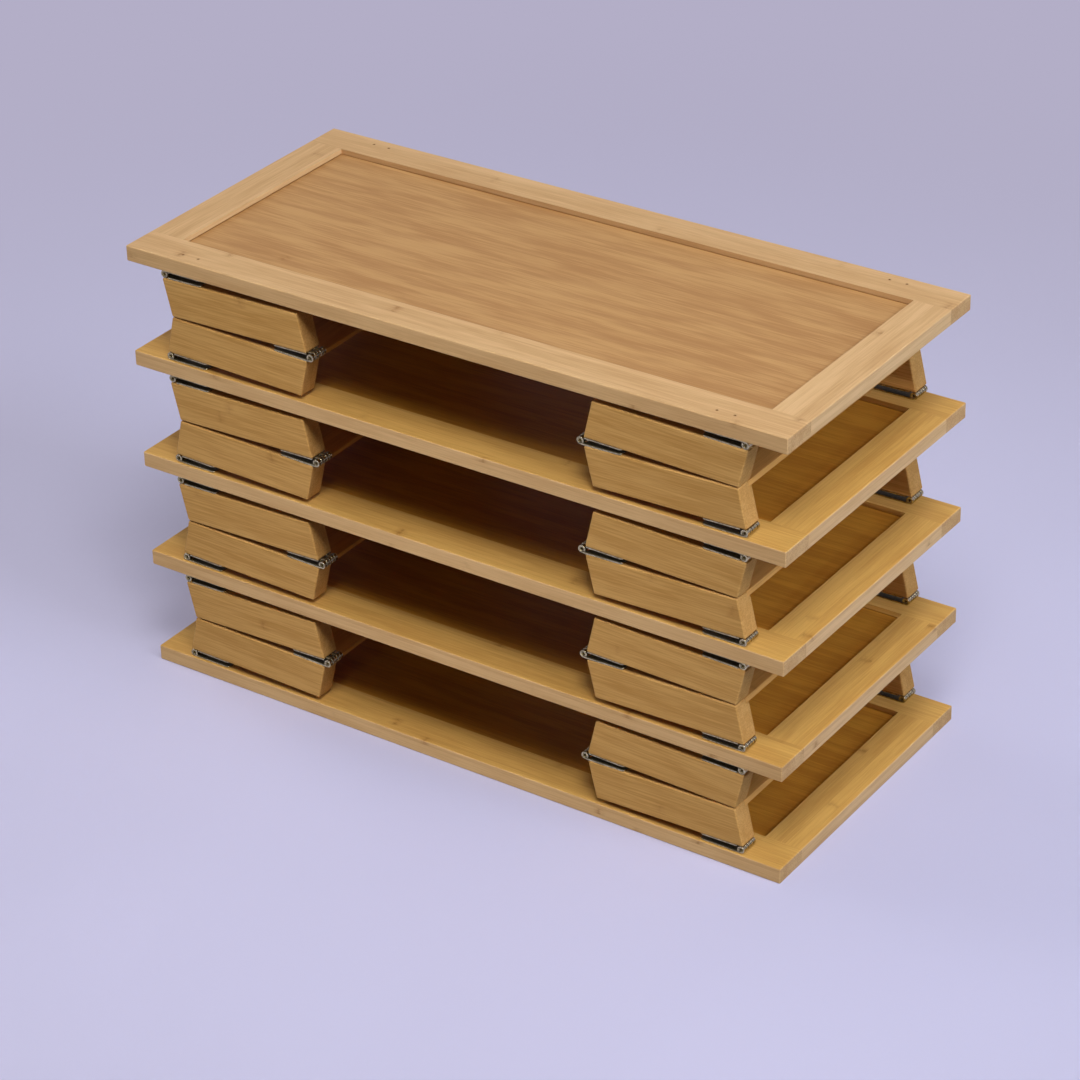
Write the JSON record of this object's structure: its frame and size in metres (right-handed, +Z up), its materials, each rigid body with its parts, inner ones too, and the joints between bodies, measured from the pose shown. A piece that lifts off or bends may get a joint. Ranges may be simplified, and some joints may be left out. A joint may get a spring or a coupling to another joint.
{
  "type": "folding shelf",
  "caption": "Free-standing bamboo shelving unit with framed shelves on hinged two-part legs that fold flat, each tier by itself, with low side panels.",
  "frame": {"origin": "middle of the underside of the bottom shelf, where the shelf stands", "axes": "+X along the shelves to the right, +Y from the front to the back, +Z up; stored folded, with every hinge at zero"},
  "size_m": [0.68, 0.306, 0.4308],
  "materials": {
    "shelf_frame_bamboo": "satin lacquer",
    "shelf_panel_bamboo": "satin lacquer",
    "leg_bamboo": "satin lacquer",
    "side_panel_bamboo": "satin lacquer",
    "hinge_steel": "zinc plated"
  },
  "bodies": {
    "shelf_1": {"shelf_1_rails": "shelf_frame_bamboo", "shelf_1_stiles": "shelf_frame_bamboo", "shelf_1_panel": "shelf_panel_bamboo", "shelf_1_hinge_hardware": "hinge_steel"},
    "shelf_2": {"shelf_2_rails": "shelf_frame_bamboo", "shelf_2_stiles": "shelf_frame_bamboo", "shelf_2_panel": "shelf_panel_bamboo", "shelf_2_hinge_hardware": "hinge_steel"},
    "shelf_3": {"shelf_3_rails": "shelf_frame_bamboo", "shelf_3_stiles": "shelf_frame_bamboo", "shelf_3_panel": "shelf_panel_bamboo", "shelf_3_hinge_hardware": "hinge_steel"},
    "shelf_4": {"shelf_4_rails": "shelf_frame_bamboo", "shelf_4_stiles": "shelf_frame_bamboo", "shelf_4_panel": "shelf_panel_bamboo", "shelf_4_hinge_hardware": "hinge_steel"},
    "shelf_5": {"shelf_5_rails": "shelf_frame_bamboo", "shelf_5_stiles": "shelf_frame_bamboo", "shelf_5_panel": "shelf_panel_bamboo", "shelf_5_hinge_hardware": "hinge_steel"},
    "tier_1_left_lower": {"tier_1_left_lower_legs": "leg_bamboo", "tier_1_left_side_panel": "side_panel_bamboo", "tier_1_left_lower_hinge_hardware": "hinge_steel"},
    "tier_1_left_upper": {"tier_1_left_upper_legs": "leg_bamboo", "tier_1_left_upper_hinge_hardware": "hinge_steel"},
    "tier_1_right_lower": {"tier_1_right_lower_legs": "leg_bamboo", "tier_1_right_side_panel": "side_panel_bamboo", "tier_1_right_lower_hinge_hardware": "hinge_steel"},
    "tier_1_right_upper": {"tier_1_right_upper_legs": "leg_bamboo", "tier_1_right_upper_hinge_hardware": "hinge_steel"},
    "tier_2_left_lower": {"tier_2_left_lower_legs": "leg_bamboo", "tier_2_left_side_panel": "side_panel_bamboo", "tier_2_left_lower_hinge_hardware": "hinge_steel"},
    "tier_2_left_upper": {"tier_2_left_upper_legs": "leg_bamboo", "tier_2_left_upper_hinge_hardware": "hinge_steel"},
    "tier_2_right_lower": {"tier_2_right_lower_legs": "leg_bamboo", "tier_2_right_side_panel": "side_panel_bamboo", "tier_2_right_lower_hinge_hardware": "hinge_steel"},
    "tier_2_right_upper": {"tier_2_right_upper_legs": "leg_bamboo", "tier_2_right_upper_hinge_hardware": "hinge_steel"},
    "tier_3_left_lower": {"tier_3_left_lower_legs": "leg_bamboo", "tier_3_left_side_panel": "side_panel_bamboo", "tier_3_left_lower_hinge_hardware": "hinge_steel"},
    "tier_3_left_upper": {"tier_3_left_upper_legs": "leg_bamboo", "tier_3_left_upper_hinge_hardware": "hinge_steel"},
    "tier_3_right_lower": {"tier_3_right_lower_legs": "leg_bamboo", "tier_3_right_side_panel": "side_panel_bamboo", "tier_3_right_lower_hinge_hardware": "hinge_steel"},
    "tier_3_right_upper": {"tier_3_right_upper_legs": "leg_bamboo", "tier_3_right_upper_hinge_hardware": "hinge_steel"},
    "tier_4_left_lower": {"tier_4_left_lower_legs": "leg_bamboo", "tier_4_left_side_panel": "side_panel_bamboo", "tier_4_left_lower_hinge_hardware": "hinge_steel"},
    "tier_4_left_upper": {"tier_4_left_upper_legs": "leg_bamboo", "tier_4_left_upper_hinge_hardware": "hinge_steel"},
    "tier_4_right_lower": {"tier_4_right_lower_legs": "leg_bamboo", "tier_4_right_side_panel": "side_panel_bamboo", "tier_4_right_lower_hinge_hardware": "hinge_steel"},
    "tier_4_right_upper": {"tier_4_right_upper_legs": "leg_bamboo", "tier_4_right_upper_hinge_hardware": "hinge_steel"}
  },
  "joints": [
    {"name": "tier_1_fold", "type": "hinge", "parent": "shelf_1", "child": "tier_1_left_lower", "pos_m": [-0.29946, 0, 0.0189], "axis": [0, -1, 0], "range_deg": [0, 103.35]},
    {"name": "tier_1_left_knee_hinge", "type": "hinge", "parent": "tier_1_left_lower", "child": "tier_1_left_upper", "pos_m": [-0.14036, 0, 0.05947], "axis": [0, 1, 0], "range_deg": [0, 206.69]},
    {"name": "tier_1_left_top_hinge", "type": "hinge", "parent": "tier_1_left_upper", "child": "shelf_2", "pos_m": [-0.29946, 0, 0.10005], "axis": [0, -1, 0], "range_deg": [0, 103.35]},
    {"name": "tier_1_right_base_hinge", "type": "hinge", "parent": "shelf_1", "child": "tier_1_right_lower", "pos_m": [0.29946, 0, 0.0189], "axis": [0, 1, 0], "range_deg": [0, 103.35]},
    {"name": "tier_1_right_knee_hinge", "type": "hinge", "parent": "tier_1_right_lower", "child": "tier_1_right_upper", "pos_m": [0.14036, 0, 0.05947], "axis": [0, -1, 0], "range_deg": [0, 206.69]},
    {"name": "tier_2_fold", "type": "hinge", "parent": "shelf_2", "child": "tier_2_left_lower", "pos_m": [-0.29946, 0, 0.12285], "axis": [0, -1, 0], "range_deg": [0, 103.35]},
    {"name": "tier_2_left_knee_hinge", "type": "hinge", "parent": "tier_2_left_lower", "child": "tier_2_left_upper", "pos_m": [-0.14036, 0, 0.16342], "axis": [0, 1, 0], "range_deg": [0, 206.69]},
    {"name": "tier_2_left_top_hinge", "type": "hinge", "parent": "tier_2_left_upper", "child": "shelf_3", "pos_m": [-0.29946, 0, 0.20399], "axis": [0, -1, 0], "range_deg": [0, 103.35]},
    {"name": "tier_2_right_base_hinge", "type": "hinge", "parent": "shelf_2", "child": "tier_2_right_lower", "pos_m": [0.29946, 0, 0.12285], "axis": [0, 1, 0], "range_deg": [0, 103.35]},
    {"name": "tier_2_right_knee_hinge", "type": "hinge", "parent": "tier_2_right_lower", "child": "tier_2_right_upper", "pos_m": [0.14036, 0, 0.16342], "axis": [0, -1, 0], "range_deg": [0, 206.69]},
    {"name": "tier_3_fold", "type": "hinge", "parent": "shelf_3", "child": "tier_3_left_lower", "pos_m": [-0.29946, 0, 0.22679], "axis": [0, -1, 0], "range_deg": [0, 103.35]},
    {"name": "tier_3_left_knee_hinge", "type": "hinge", "parent": "tier_3_left_lower", "child": "tier_3_left_upper", "pos_m": [-0.14036, 0, 0.26737], "axis": [0, 1, 0], "range_deg": [0, 206.69]},
    {"name": "tier_3_left_top_hinge", "type": "hinge", "parent": "tier_3_left_upper", "child": "shelf_4", "pos_m": [-0.29946, 0, 0.30794], "axis": [0, -1, 0], "range_deg": [0, 103.35]},
    {"name": "tier_3_right_base_hinge", "type": "hinge", "parent": "shelf_3", "child": "tier_3_right_lower", "pos_m": [0.29946, 0, 0.22679], "axis": [0, 1, 0], "range_deg": [0, 103.35]},
    {"name": "tier_3_right_knee_hinge", "type": "hinge", "parent": "tier_3_right_lower", "child": "tier_3_right_upper", "pos_m": [0.14036, 0, 0.26737], "axis": [0, -1, 0], "range_deg": [0, 206.69]},
    {"name": "tier_4_fold", "type": "hinge", "parent": "shelf_4", "child": "tier_4_left_lower", "pos_m": [-0.29946, 0, 0.33074], "axis": [0, -1, 0], "range_deg": [0, 103.35]},
    {"name": "tier_4_left_knee_hinge", "type": "hinge", "parent": "tier_4_left_lower", "child": "tier_4_left_upper", "pos_m": [-0.14036, 0, 0.37132], "axis": [0, 1, 0], "range_deg": [0, 206.69]},
    {"name": "tier_4_left_top_hinge", "type": "hinge", "parent": "tier_4_left_upper", "child": "shelf_5", "pos_m": [-0.29946, 0, 0.41189], "axis": [0, -1, 0], "range_deg": [0, 103.35]},
    {"name": "tier_4_right_base_hinge", "type": "hinge", "parent": "shelf_4", "child": "tier_4_right_lower", "pos_m": [0.29946, 0, 0.33074], "axis": [0, 1, 0], "range_deg": [0, 103.35]},
    {"name": "tier_4_right_knee_hinge", "type": "hinge", "parent": "tier_4_right_lower", "child": "tier_4_right_upper", "pos_m": [0.14036, 0, 0.37132], "axis": [0, -1, 0], "range_deg": [0, 206.69]}
  ],
  "couplings": [
    {"joint": "tier_1_left_knee_hinge", "follows": "tier_1_fold", "ratio": 2},
    {"joint": "tier_1_left_top_hinge", "follows": "tier_1_fold", "ratio": 1},
    {"joint": "tier_1_right_knee_hinge", "follows": "tier_1_fold", "ratio": 2},
    {"joint": "tier_1_right_base_hinge", "follows": "tier_1_fold", "ratio": 1},
    {"joint": "tier_2_left_knee_hinge", "follows": "tier_2_fold", "ratio": 2},
    {"joint": "tier_2_left_top_hinge", "follows": "tier_2_fold", "ratio": 1},
    {"joint": "tier_2_right_knee_hinge", "follows": "tier_2_fold", "ratio": 2},
    {"joint": "tier_2_right_base_hinge", "follows": "tier_2_fold", "ratio": 1},
    {"joint": "tier_3_left_knee_hinge", "follows": "tier_3_fold", "ratio": 2},
    {"joint": "tier_3_left_top_hinge", "follows": "tier_3_fold", "ratio": 1},
    {"joint": "tier_3_right_knee_hinge", "follows": "tier_3_fold", "ratio": 2},
    {"joint": "tier_3_right_base_hinge", "follows": "tier_3_fold", "ratio": 1},
    {"joint": "tier_4_left_knee_hinge", "follows": "tier_4_fold", "ratio": 2},
    {"joint": "tier_4_left_top_hinge", "follows": "tier_4_fold", "ratio": 1},
    {"joint": "tier_4_right_knee_hinge", "follows": "tier_4_fold", "ratio": 2},
    {"joint": "tier_4_right_base_hinge", "follows": "tier_4_fold", "ratio": 1}
  ]
}
